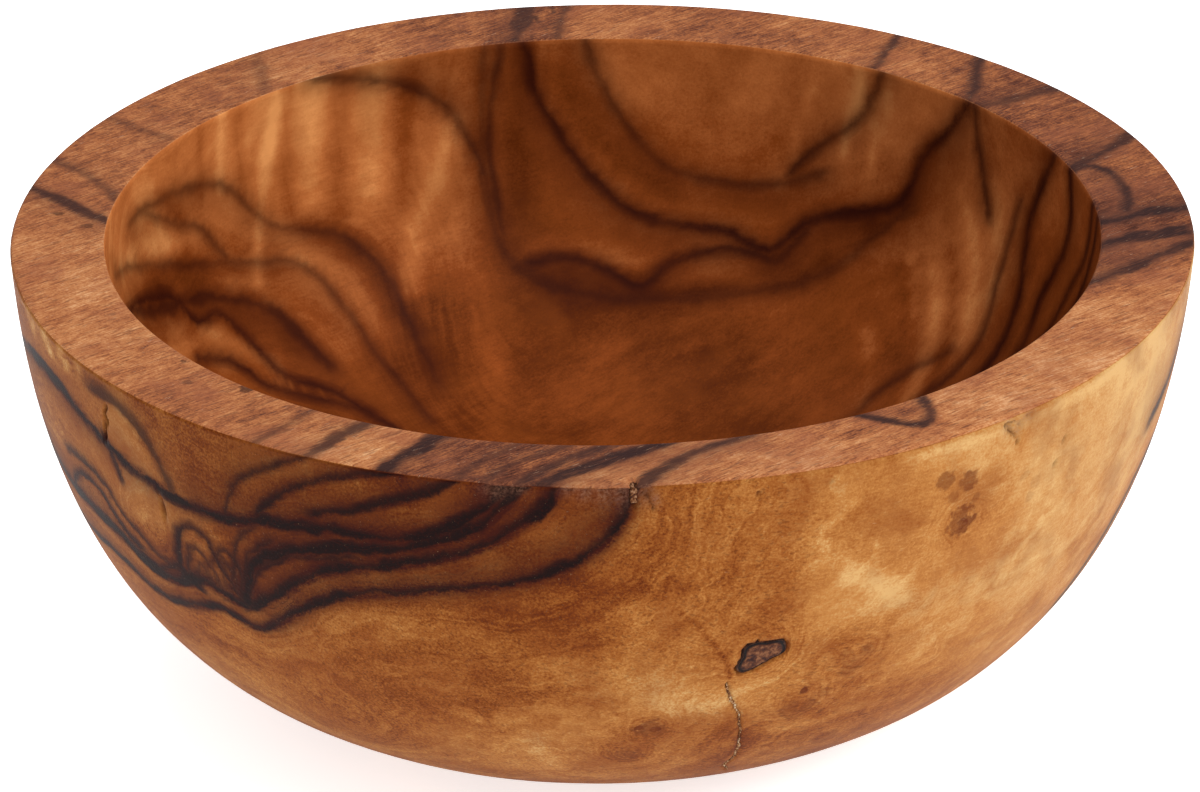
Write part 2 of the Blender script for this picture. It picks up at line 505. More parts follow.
# Base tone, 0 for the darkest heartwood and 1 for pale sapwood: (turn, run, tone)
TONES = [
    (turn, -drop, tone)
    for turn, column in (
        (-80, [(3, 0.58), (18, 0.5), (32, 0.58), (48, 0.56)]),
        (-66, [(3, 0.62), (10, 0.68), (16, 0.58), (22, 0.58), (27, 0.6), (36, 0.66)]),
        (-57, [(2, 0.58), (10, 0.74), (14, 0.7), (22, 0.6)]),
        (-52, [
            (3.6, 0.82), (6.4, 0.8), (10.5, 0.8), (14, 0.76), (18, 0.5), (23.4, 0.6), (28, 0.58),
            (38, 0.66),
        ]),
        (-47, [(1, 0.5), (4.6, 0.58), (10.6, 0.78), (13, 0.78), (18, 0.4), (20.6, 0.14), (23, 0.58)]),
        (-42, [
            (2, 0.44), (7, 0.46), (12, 0.72), (15, 0.62), (18.4, 0.52), (21.6, 0.56), (27, 0.56),
            (34, 0.68),
        ]),
        (-37, [(4, 0.5), (8, 0.5), (12.4, 0.5), (15, 0.3), (18, 0.2), (22.6, 0.6)]),
        (-33, [(1, 0.5), (5, 0.46), (12, 0.26), (15, 0.3), (19.6, 0.7)]),
        (-28, [
            (2, 0.44), (5.4, 0.5), (7.4, 0.24), (12, 0.34), (15.2, 0.64), (20, 0.56), (25, 0.5),
            (33, 0.6), (44, 0.6),
        ]),
        (-22, [(2.6, 0.5), (6.2, 0.4), (9, 0.24), (13.2, 0.62), (19, 0.54)]),
        (-16, [
            (1, 0.34), (4.4, 0.56), (8, 0.24), (11.6, 0.58), (20, 0.46), (28, 0.62), (36, 0.72),
            (46, 0.6),
        ]),
        (-10, [(1, 0.3), (5, 0.24), (9.4, 0.56), (16, 0.42)]),
        (-4, [
            (2.2, 0.36), (6, 0.56), (8.4, 0.48), (15, 0.44), (24, 0.62), (31, 0.78), (41, 0.68),
            (50, 0.56),
        ]),
        (6, [(2, 0.54), (9, 0.5), (18, 0.66), (27, 0.74), (36, 0.66), (44, 0.6)]),
        (15, [(2, 0.64), (10, 0.6), (16, 0.66), (27, 0.72), (36, 0.58), (46, 0.54)]),
        (25, [(2, 0.78), (10, 0.76), (16, 0.86), (24, 0.66), (31, 0.64), (40, 0.56), (50, 0.52)]),
        (38, [(2, 0.86), (9, 0.76), (18, 0.84), (27, 0.8), (36, 0.66), (46, 0.6)]),
        (50, [(2, 0.88), (10, 0.92), (20, 0.9), (30, 0.84), (42, 0.7)]),
        (64, [(2, 0.96), (14, 0.92), (26, 0.84), (38, 0.74)]),
        (80, [(2, 0.92), (12, 0.8), (24, 0.66), (40, 0.6)]),
        (104, [(8, 0.6), (28, 0.56), (46, 0.5)]),
        (130, [(8, 0.54), (28, 0.5), (46, 0.5)]),
        (160, [(8, 0.6), (28, 0.66), (46, 0.56)]),
        (195, [(8, 0.62), (28, 0.7), (46, 0.6)]),
        (225, [(8, 0.66), (28, 0.62), (46, 0.56)]),
        (255, [(8, 0.6), (28, 0.58), (46, 0.54)]),
    )
    for drop, tone in column
]
TONES += [(turn, FOOT_RUN - 14, 0.56) for turn in range(0, 360, 60)]
TONES += [
    (turn, run, tone)
    for turn, outer_tone, inner_tone in (
        (-90, 0.6, 0.62), (-75, 0.56, 0.66), (-60, 0.58, 0.62), (-45, 0.52, 0.5), (-36, 0.5, 0.5),
        (-30, 0.6, 0.56), (-24, 0.62, 0.62), (-15, 0.34, 0.3), (-8, 0.3, 0.3), (-1, 0.62, 0.3),
        (3, 0.6, 0.34), (10, 0.62, 0.6), (18, 0.62, 0.5), (26, 0.64, 0.5), (35, 0.62, 0.52),
        (45, 0.66, 0.58), (56, 0.72, 0.68), (66, 0.6, 0.62), (76, 0.56, 0.5), (84, 0.46, 0.3),
        (92, 0.28, 0.22), (100, 0.3, 0.22), (108, 0.36, 0.3), (118, 0.34, 0.34), (128, 0.3, 0.3),
        (140, 0.46, 0.48), (160, 0.5, 0.52), (178, 0.5, 0.5), (190, 0.36, 0.36), (200, 0.44, 0.44),
        (212, 0.54, 0.52), (228, 0.5, 0.5), (244, 0.5, 0.52), (256, 0.48, 0.5),
    )
    for run, tone in ((1.5, outer_tone), (8.0, inner_tone))
]
TONES += [
    (turn, RIM_WALL + drop, tone + 0.12 - 0.2 * min(drop / 32, 1))
    for turn, column in (
        (92, [(2, 0.3), (12, 0.3), (30, 0.4)]),
        (104, [(3, 0.4), (12, 0.36), (22, 0.4), (36, 0.46)]),
        (113, [(3, 0.44), (12, 0.4), (22, 0.42), (36, 0.46)]),
        (123, [(3, 0.46), (10, 0.6), (20, 0.66), (32, 0.54), (46, 0.42)]),
        (135, [(3, 0.6), (10, 0.56), (22, 0.54), (34, 0.54), (46, 0.42)]),
        (147, [(4, 0.66), (12, 0.58), (20, 0.52), (32, 0.52), (46, 0.42)]),
        (160, [(5, 0.64), (12, 0.54), (18, 0.52), (24, 0.6), (34, 0.42), (46, 0.42)]),
        (175, [(5, 0.62), (12, 0.5), (22, 0.46), (34, 0.42), (44, 0.5), (58, 0.44)]),
        (190, [(5, 0.44), (12, 0.4), (20, 0.36), (32, 0.38), (46, 0.44)]),
        (203, [(4, 0.52), (12, 0.7), (19, 0.66), (28, 0.46), (44, 0.4)]),
        (214, [(4, 0.7), (12, 0.66), (22, 0.5), (34, 0.44), (46, 0.4)]),
        (224, [(4, 0.74), (12, 0.66), (20, 0.56), (30, 0.5), (42, 0.4)]),
        (236, [(4, 0.7), (10, 0.66), (18, 0.58), (26, 0.46), (36, 0.44)]),
        (250, [(3, 0.66), (9, 0.6), (16, 0.4), (26, 0.46), (40, 0.44)]),
        (264, [(3, 0.7), (10, 0.6), (20, 0.5), (40, 0.46)]),
        (252, [(13, 0.28), (18.6, 0.66)]),
        (245, [(17, 0.3), (23, 0.66)]),
        (238, [(21, 0.34), (29, 0.62)]),
        (231, [(26, 0.36), (33, 0.56)]),
        (-70, [(6, 0.56), (24, 0.5), (44, 0.44)]),
        (-40, [(6, 0.46), (24, 0.46), (44, 0.44)]),
        (-10, [(6, 0.36), (24, 0.46), (44, 0.44)]),
        (20, [(6, 0.5), (24, 0.54), (44, 0.48)]),
        (50, [(6, 0.62), (24, 0.6), (44, 0.5)]),
        (76, [(6, 0.46), (24, 0.48), (44, 0.46)]),
        (0, [(64, 0.48), (70, 0.48)]),
        (180, [(66, 0.46)]),
    )
    for drop, tone in column
]

# Pale streaks, and dark ones, where the light runs along curled fibres: (half width, strength, points)
STREAKS = [
    (0.7, 0.2, inside([(147.5, 1), (149.4, 10)])),
    (0.5, 0.13, inside([(144, 2), (145.4, 12)])),
    (0.5, 0.12, inside([(154, 2), (157, 15)])),
    (1.3, 0.15, inside([(199, 8), (202, 14), (206, 19), (209, 25)])),
    (0.6, 0.1, inside([(201.6, 2), (203.6, 8)])),
    (2.2, 0.13, inside([(208.6, 2), (211, 14)])),
    (1.6, 0.12, inside([(217.6, 1), (220, 13)])),
    (0.9, 0.18, inside([(223, 1), (228, 12), (232, 19)])),
    (0.8, 0.12, inside([(232.4, 0), (234.4, 8)])),
    (1.4, 0.08, inside([(226, 14), (223, 22), (221, 28)])),
    (1.0, -0.12, inside([(221.6, 0), (223.6, 13)])),
    (1.5, -0.14, inside([(213.4, 0), (216, 15)])),
    (1.6, -0.12, inside([(204.6, 3), (207.4, 16)])),
    (0.8, -0.1, inside([(229.4, 0), (231, 10)])),
    (0.8, -0.1, inside([(236.6, 0), (238, 8)])),
    (1.2, -0.1, inside([(247, 4), (243, 9)])),
    (1.6, 0.16, inside([(241, 11), (250, 9), (262, 7)])),
    (0.9, 0.18, inside([(236, 28), (240, 24), (246, 20)])),
    (1.3, 0.13, inside([(118.6, 22), (121, 15), (124.6, 8)])),
    (1.0, 0.12, inside([(121, 24), (125, 16), (131, 10)])),
    (1.2, 0.2, inside([(122, 34), (127, 25), (132, 19)])),
    (0.9, 0.1, inside([(127, 33), (131, 26), (136, 19)])),
    (1.0, 0.16, inside([(126, 42), (132, 33), (138, 28)])),
    (0.9, -0.1, inside([(121.6, 30), (126, 21), (130, 16)])),
    (0.9, -0.1, inside([(125, 36), (130, 28), (137, 20)])),
    (1.0, -0.1, inside([(124, 44), (129, 36), (134, 31)])),
    (1.0, 0.1, inside([(176, 24.6), (184, 22.6), (190, 22.4)])),
    (1.9, -0.07, inside([(144, 17), (151, 15.6), (158, 17), (165, 17.2)])),
    (1.5, -0.12, inside([(172, 16.6), (178, 13.6), (182.6, 9), (185.6, 4)])),
    (2.0, -0.12, inside([(149, 22.4), (156, 25), (165, 26.4), (177, 28), (187, 27)])),
    (1.8, -0.12, inside([(190.6, 17), (191.4, 9), (190, 2)])),
    (1.6, -0.12, inside([(136.6, 6), (138, 12), (143, 16)])),
    (1.4, 0.07, inside([(224, 30), (227, 25), (232, 21)])),
    (1.4, -0.1, inside([(210, 30), (213.6, 21), (220, 16), (228, 12.6)])),
    (1.6, 0.1, inside([(214.6, 30), (217.6, 23), (223, 18)])),
    (2.0, 0.08, inside([(198, 34), (202, 38), (206, 44)])),
    (0.9, 0.12, inside([(161, 24.6), (167, 25.4), (171, 26.6)])),
    (0.8, 0.14, down([(20, 35.4), (26, 35), (33, 34)])),
    (1.6, 0.14, down([(25, 12.5), (28, 15), (31, 18)])),
    (3.0, 0.14, down([(-5, 23), (2, 25), (8, 29)])),
    (1.4, 0.1, down([(-8, 34), (-6, 40)])),
    (0.2, -0.24, down([(7, 14.5), (9.6, 17), (11.6, 20), (13, 22.6), (13.6, 25)])),
    (1.4, -0.12, down([(-3, 10.6), (3, 12.6), (8, 12)])),
    (1.2, -0.1, down([(6, 15), (2, 18), (-6, 20)])),
    (2.2, 0.1, down([(3, 21), (8, 24), (11, 29)])),
    (1.6, -0.1, down([(14, 33), (17, 37), (14, 42)])),
    (1.2, -0.12, down([(21, 30), (24, 33), (30, 36)])),
    (0.6, 0.1, down([(30, 1), (44, 1.4), (60, 1)])),
    (0.7, 0.3, down([(-72.5, 0.4), (-71, 1.8)])),
    (0.7, 0.34, down([(-67.6, 0.4), (-66, 2.0)])),
    (0.6, 0.3, down([(-63.4, 0.4), (-62, 1.8)])),
    (0.6, 0.28, down([(-59.6, 0.4), (-58.6, 1.4)])),
]

# Brown spots in the sound wood: (turn, mm down the outside, radius, strength)
SPOTS = [
    (34.5, 4.8, 1.15, 0.6), (37.3, 5.7, 1.1, 0.7), (35.6, 7.0, 0.7, 0.35), (37.0, 10.3, 1.8, 0.8),
    (38.4, 8.0, 0.5, 0.5), (46.6, 8.9, 0.8, 0.22), (44.8, 7.6, 0.6, 0.2), (46.0, 10.6, 0.6, 0.2),
    (22.4, 28.7, 0.62, 1.0), (21.3, 31.4, 1.2, 0.55), (23.4, 31.6, 1.2, 0.5), (22.0, 33.1, 0.9, 0.45),
    (24.8, 29.8, 0.8, 0.35), (27.4, 26.2, 1.5, 0.35), (28.6, 24.4, 1.0, 0.4), (26.0, 24.2, 0.8, 0.3),
    (5.7, 32.5, 1.7, 0.62), (6.3, 32.6, 0.6, 1.0), (4.4, 32.2, 0.5, 0.9),
    (3.2, 38.1, 1.7, 0.5), (3.8, 38.1, 0.6, 0.8),
    (28.8, 40.3, 1.6, 0.4), (25.0, 37.6, 1.8, 0.2), (37.2, 10.5, 0.8, 1.0), (36.9, 9.6, 0.5, 0.9),
]
RIM_SPOTS = [
    (-42.6, 8.8, 0.8, 0.8), (-53, 8.6, 0.35, 0.6), (-48.4, 6.0, 0.5, 0.35), (265, 4.4, 0.5, 0.6),
    (268, 7.6, 0.6, 0.6),
]

# Small open faults: (turn, run, radius across, radius along, depth)
PITS = [
    (-47.3, -12.2, 0.26, 1.0, 0.7),
    (49.1, -8.2, 0.24, 0.28, 0.6),
    (50.3, -5.7, 0.22, 0.3, 0.6),
    (15.0, -1.9, 0.22, 0.22, 0.5),
    (22.0, -1.7, 0.2, 0.2, 0.4),
    (-30.4, 0.2, 0.3, 0.5, 0.4),
]
# Where the rim's outer edge is chipped: the same five values
CHIPS = [
    (-9.4, -0.7, 1.0, 0.7, 0.75),
    (-7.4, -0.4, 0.8, 0.5, 0.5),
    (-2.6, -0.3, 0.6, 0.6, 0.4),
    (-1.2, -0.6, 0.7, 0.8, 0.45),
    (0.6, -0.5, 0.8, 1.1, 0.6),
    (2.2, -0.6, 0.6, 1.2, 0.55),
    (4.4, -0.8, 0.6, 1.0, 0.7),
    (5.3, -1.8, 0.4, 0.6, 0.3),
    (42.0, -0.9, 0.7, 0.9, 0.8),
    (43.2, -1.7, 0.4, 0.7, 0.6),
    (44.6, -0.7, 0.7, 0.5, 0.4),
]
# Where the outside is redder than its tone alone: (turn, run, radius, strength)
RUSTY = [(-53, -5, 5, 0.45), (-46, -11, 5, 0.3), (-60, -10, 7, 0.3), (-36, -5, 6, 0.2), (-4, -4, 4, 0.25)]
# Cracks with nothing in them: (half width, depth, points)
FISSURES = [
    (0.14, 1.1, down([(-54.3, 3.2), (-54.9, 4.2), (-54.5, 4.9), (-55.3, 5.8), (-55.0, 6.5), (-55.7, 7.2)])),
    (0.1, 0.5, down([(41.6, 0.9), (42.2, 1.8), (42.9, 2.6), (43.1, 3.3)])),
    (0.1, 0.4, down([(3.8, 1.0), (4.7, 1.7), (5.2, 2.9)])),
]
# The dead branch's middle, and the circles that its outline goes round: (across, up, radius) in mm
KNOT_TURN, KNOT_DROP = 16.6, 22.2
KNOT_ROUNDS = [(1.35, 0.75, 1.15), (-0.75, 0.95, 1.0), (-1.75, -1.55, 0.7)]
# The filled crack below the knot, down to the foot: (turn, mm down the outside)
CHECK_ROUTE = [
    (13.3, 25.6), (14.1, 28.3), (15.3, 31.0), (16.1, 34.6),
    (16.7, 38.2), (16.9, 41.2), (16.3, 43.6), (17.6, 46.2),
]
CHECK = smooth_line(down(CHECK_ROUTE), 8)
CHECK_HALF, CHECK_DEPTH = 0.16, 0.3
# The short filled crack across the rim's outer edge
RIM_CHECK_TURN = 3.3
RIM_CHECK = [(RIM_CHECK_TURN, -2.2), (RIM_CHECK_TURN, 1.4)]
RIM_CHECK_HALF, RIM_CHECK_DEPTH = 0.4, 0.7


# ---------------------------------------------------------------- the bowl's mesh


def spaced(start, end, base, fine):
    """Steps from start to end: base apart, but closer near each (centre, reach, step) in fine."""
    places = [start]
    while places[-1] < end:
        here = places[-1]
        step = base
        for centre, reach, small in fine:
            share = min(max((abs(here - centre) - reach) / (reach * 0.5 + 1.5), 0), 1)
            step = min(step, small + (base - small) * share)
        places.append(here + step)
    places = np.array(places)
    return start + (places - start) * (end - start) / (places[-1] - start)


# Where the mesh's columns stand closer, in degrees: the front, chips, cracks, a pit, the knot and
# one side of the hollow.  (middle, reach, step)
FINE_COLUMNS = [
    (18, 32, 0.46), (3.5, 3.6, 0.26), (-8.8, 2.4, 0.3), (43, 2, 0.32),
    (-54.9, 1.0, 0.14), (-47.3, 0.7, 0.2), (15.4, 2.6, 0.26), (-122, 13, 0.86),
]
# The same for its rows, in mm: the outside's front, the knot, the rim's two edges and the hollow
FINE_OUTSIDE = [(-24, 23, 0.62), (-KNOT_DROP, 3.0, 0.4), (-2, 2.4, 0.3)]
FINE_RIM = [(0, 0.9, 0.16), (RIM_WALL, 0.5, 0.16)]
FINE_HOLLOW = [(RIM_WALL + 12, 16, 0.85)]
FINE_FROM, FINE_TO = -0.9, RIM_WALL + 0.7  # the rim's rows start and end just past its edges


def columns():
    return spaced(-180, 180, 1.34, FINE_COLUMNS)[:-1]


def rows():
    foot = np.linspace(FIRST_RUN, FOOT_RUN, 8)[1:-1]
    outside = spaced(FOOT_RUN, FINE_FROM, 1.0, FINE_OUTSIDE)[:-1]
    rim = spaced(FINE_FROM, FINE_TO, 0.62, FINE_RIM)[:-1]
    hollow = spaced(FINE_TO, LAST_RUN, 1.7, FINE_HOLLOW)[:-1]
    return np.concatenate([foot, outside, rim, hollow])


# Relief, in mm: how low the surface lies and waves, the bowl under the knot, and the deepest it goes
SAG, SWELLS, RIPPLES = 0.04, 0.03, 0.012
KNOT_SINK, DEEPEST = 0.9, 1.6


def noise_at(points, size, seed=0.0):
    """Smooth noise, about -1 to 1, at each point of an (n, 3) array in mm."""
    shift = SEED * (1 + seed)
    return np.array([noise.noise(Vector(point) / size + shift) for point in points])


def relief(turn, run, points):
    """How far the surface stands out from its turned shape, in mm: never above it."""
    depth = SAG + SWELLS * noise_at(points, 9.0) + RIPPLES * noise_at(points, 1.6, 0.4)
    ragged = 1 + 0.7 * noise_at(points, 0.7, 0.9)
    for *spot, deep in PITS + CHIPS:
        depth += deep * ragged * near_spot(turn, run, *spot)
    for half, deep, line in FISSURES:
        depth += deep * near_line(turn, run, smooth_line(line, 2), half)
    depth += CHECK_DEPTH * near_line(turn, run, CHECK, CHECK_HALF)
    depth += RIM_CHECK_DEPTH * near_line(turn, run, RIM_CHECK, RIM_CHECK_HALF)
    depth += KNOT_SINK * (inside_knot(turn, run) < 0.1)
    return -np.clip(depth, 0, DEEPEST)


def knot_outline():
    """The knot's outline as angles and distances from its middle."""
    ring = []
    for across, up, radius in KNOT_ROUNDS:
        for step in range(40):
            angle = step * math.tau / 40
            ring.append((across + radius * math.cos(angle), up + radius * math.sin(angle)))
    hull = np.array([ring[i] for i in geometry.convex_hull_2d(ring)])
    hull = np.concatenate([hull, hull[:1]])
    steps = np.linspace(0, 1, 12)[:-1, None]
    fine = np.concatenate([a + (b - a) * steps for a, b in zip(hull, hull[1:])])
    angles = np.arctan2(fine[:, 1], fine[:, 0])
    order = np.argsort(angles)
    return angles[order], np.hypot(*fine.T)[order]


KNOT_ANGLES, KNOT_REACH = knot_outline()


def knot_reach(angle):
    """How far the knot's uneven outline is from its middle at each angle."""
    reach = np.interp(angle, KNOT_ANGLES, KNOT_REACH, period=math.tau)
    return reach * (1 + 0.04 * np.sin(3 * angle + 0.6) + 0.03 * np.sin(7 * angle + 2.0))


def inside_knot(turn, run):
    """Distance in mm outside the knot's outline, negative within it."""
    across = turned_by(turn, KNOT_TURN) * mm_per_degree(run)
    up = run + KNOT_DROP
    return np.hypot(across, up) - knot_reach(np.arctan2(up, across))


def growth_field(points):
    """The growth level at each point: a smooth field through the GROWTH lines."""
    centres, levels = [], []
    for level, line in GROWTH:
        for turn, run in line:
            centres.append(surface(turn, run))
            levels.append(level)
    centres, levels = np.array(centres) / GROWTH_SCALE, np.array(levels, float)
    count = len(levels)
    gaps = np.linalg.norm(centres[:, None] - centres[None], axis=-1)
    matrix = np.zeros((count + 4, count + 4))
    matrix[:count, :count] = gaps**3 + GROWTH_SLACK * np.eye(count)
    matrix[:count, count] = matrix[count, :count] = 1
    matrix[:count, count + 1 :] = centres
    matrix[count + 1 :, :count] = centres.T
    weights = np.linalg.solve(matrix, np.concatenate([levels, np.zeros(4)]))
    field = np.zeros(len(points))
    for start in range(0, len(points), CHUNK):
        some = points[start : start + CHUNK] / GROWTH_SCALE
        gaps = np.linalg.norm(some[:, None] - centres[None], axis=-1)
        slope = some @ weights[count + 1 :]
        field[start : start + CHUNK] = gaps**3 @ weights[:count] + weights[count] + slope
    for (turn, run), reach, height in EYES:
        away = np.linalg.norm(points - surface(turn, run), axis=-1)
        field += height * np.exp(-((away / reach) ** 2))
    return field


def tone_field(turn, run):
    """The base tone at each place: the set tones, each weighted by how near it is."""
    per_degree = mm_per_degree(run)
    total, weight = np.zeros(turn.shape), np.zeros(turn.shape) + 1e-9
    for spot_turn, spot_run, tone in TONES:
        same = np.minimum(np.sign(run), 0) == min(np.sign(spot_run), 0)
        same &= (run > RIM_WALL) == (spot_run > RIM_WALL)
        away = np.hypot(turned_by(turn, spot_turn) * per_degree, run - spot_run)
        near = same / (TONE_BLUR + away) ** TONE_POWER
        total += near * tone
        weight += near
    return total / weight


def region(run):
    """Which part of the bowl each place is on."""
    return np.where(run < 0, OUTSIDE_REGION, np.where(run <= RIM_WALL, RIM_REGION, HOLLOW_REGION))


def line_groups(lines):
    """Sorts lines into groups, so that those within one group stay well apart."""
    groups = []
    for line in lines:
        fine = smooth_line(carried_on(line), 4)
        points = surface(fine[:, 0], fine[:, 1])
        for group in groups:
            gaps = [np.linalg.norm(points[:, None] - other[None], axis=-1).min() for _, other in group]
            if min(gaps) > GROUP_GAP:
                group.append((line, points))
                break
        else:
            groups.append([(line, points)])
    return [[line for line, _ in group] for group in groups]


def vein_fields(turn, run):
    """Four fields for each group of veins, and then the smoke of all of them.

    The four are the signed distance to the nearest vein, which is positive on its smoky side, the
    plain distance, the vein's half width and its strength."""
    smooth = [smooth_line(points, 3) for _, _, _, _, points in VEINS]
    facts = {line.tobytes(): vein[:4] for line, vein in zip(smooth, VEINS)}
    smoke, where, fields = np.zeros(turn.shape), region(run), []
    for group in line_groups(smooth):
        signed, plain = np.full(turn.shape, FAR), np.full(turn.shape, FAR)
        half_width, strength = np.zeros(turn.shape), np.zeros(turn.shape)
        for line in group:
            half, strong, reach, smoky_side = facts[line.tobytes()]
            middle = region(np.array([line[len(line) // 2, 1]]))[0]
            near = np.abs(turned_by(turn, line[:, 0].mean())) < np.ptp(line[:, 0]) / 2 + BESIDE
            chosen = np.nonzero(near & (where == middle))[0]
            from_line, facing = to_line(turn[chosen], run[chosen], line)
            fade = reach * (SMOKE_SHARE + SMOKE_LEAN * facing * smoky_side)
            fade = np.maximum(fade, SOFT_SMOKE * (middle == HOLLOW_REGION))
            away, side = to_line(turn[chosen], run[chosen], carried_on(line))
            side = side * smoky_side
            haze = SMOKE_STRENGTH * strong * np.exp(-np.maximum(from_line - half, 0) / fade)
            smoke[chosen] = np.maximum(smoke[chosen], haze)
            closer = away < plain[chosen]
            signed[chosen] = np.where(closer, away * np.where(side < 0, -1, 1), signed[chosen])
            plain[chosen] = np.where(closer, away, plain[chosen])
            half_width[chosen] = np.where(closer, half, half_width[chosen])
            fading = strong * np.exp(-(((from_line - away) / END_FADE) ** 2))
            strength[chosen] = np.where(closer, fading, strength[chosen])
        fields.append((signed, plain, half_width, strength))
    return fields, smoke


def streak_field(turn, run):
    """How much paler or darker the streaks make each place."""
    streaks = [strong * near_line(turn, run, smooth_line(line, 2), half) for half, strong, line in STREAKS]
    return sum(streaks)


WORN_WIDER = 1.3  # the fibres stand up this many times as far out as a chip reaches


def worn_field(turn, run):
    """How fuzzy the wood is, 0 to 1: the fibres stand up where the rim's edge is chipped."""
    chips = [(*place, WORN_WIDER * across, WORN_WIDER * along) for *place, across, along, _ in CHIPS]
    return np.max([near_spot(turn, run, *chip) for chip in chips], axis=0)


def rusty_field(turn, run):
    """How much redder each place is: only on the outside."""
    rusty = [strong * near_spot(turn, run, *place, radius, radius) for *place, radius, strong in RUSTY]
    return sum(rusty) * (region(run) == OUTSIDE_REGION)


def open_field(turn, run):
    """How far down a pit or a crack each place is, 0 to 1."""
    shades = [near_spot(turn, run, *spot) for *spot, _ in PITS]
    for half, deep, line in FISSURES:
        shades.append(min(deep, 0.9) * near_line(turn, run, smooth_line(line, 2), 1.4 * half))
    shades.append(0.4 * near_line(turn, run, CHECK, CHECK_HALF))
    return np.max(shades, axis=0)


def make_object(name, points, faces):
    mesh = bpy.data.meshes.new(name)
    mesh.from_pydata((np.asarray(points) * MM).tolist(), [], faces)
    mesh.validate()
    mesh.update()
    mesh.polygons.foreach_set("use_smooth", [True] * len(mesh.polygons))
    piece = bpy.data.objects.new(name, mesh)
    bpy.context.scene.collection.objects.link(piece)
    return piece


def add_field(piece, name, values):
    field = piece.data.attributes.new(name, "FLOAT", "POINT")
    field.data.foreach_set("value", np.asarray(values, np.float32))


def add_vectors(piece, name, values):
    field = piece.data.attributes.new(name, "FLOAT_VECTOR", "POINT")
    field.data.foreach_set("vector", np.asarray(values, np.float32).ravel())


FIELDS = dict(tone=tone_field, pale=streak_field, worn=worn_field, rusty=rusty_field, open=open_field)


def make_bowl():
    """One closed mesh: a pole under the foot, a grid of rows and columns, and a pole in the hollow."""
    turns, runs = columns(), rows()
    turn, run = [a.ravel() for a in np.meshgrid(turns, runs)]
    turn, run = np.concatenate([turn, [0, 0]]), np.concatenate([run, [FIRST_RUN, LAST_RUN]])
    points = surface(turn, run)
    normals = outward(turn, run)
    normals[-2], normals[-1] = (0, 0, -1), (0, 0, 1)
    relieved = points + normals * relief(turn, run, points)[:, None]
    wide, high = len(turns), len(runs)
    low_pole, top_pole = wide * high, wide * high + 1
    faces, slots = [], []
    for i in range(high - 1):
        slot = int(region(np.array([(runs[i] + runs[i + 1]) / 2]))[0]) + 1
        for j in range(wide):
            k = (j + 1) % wide
            faces.append((i * wide + j, i * wide + k, (i + 1) * wide + k, (i + 1) * wide + j))
            slots.append(slot)
    for j in range(wide):
        k = (j + 1) % wide
        faces.append((low_pole, k, j))
        faces.append((top_pole, (high - 1) * wide + j, (high - 1) * wide + k))
        slots += [0, 2]
    piece = make_object("bowl_turned", relieved, faces)
    piece.data.polygons.foreach_set("material_index", slots)
    veins, smoke = vein_fields(turn, run)
    for number, (signed, plain, half_width, strength) in enumerate(veins):
        add_vectors(piece, f"vein_{number}", np.stack([signed, plain, half_width], axis=-1))
        add_field(piece, f"strength_{number}", strength)
    add_field(piece, "smoke", smoke)
    add_field(piece, "growth", growth_field(points))
    add_field(piece, "knot_gap", np.clip(inside_knot(turn, run), -3, FAR))
    for name, field in FIELDS.items():
        add_field(piece, name, field(turn, run))
    return piece, len(veins)


# ---------------------------------------------------------------- nodes


DULL = 0.12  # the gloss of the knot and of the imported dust
FELT_FROM, FELT_TO = 1.15, 1.65  # mm from a vein's line over which its field stops counting


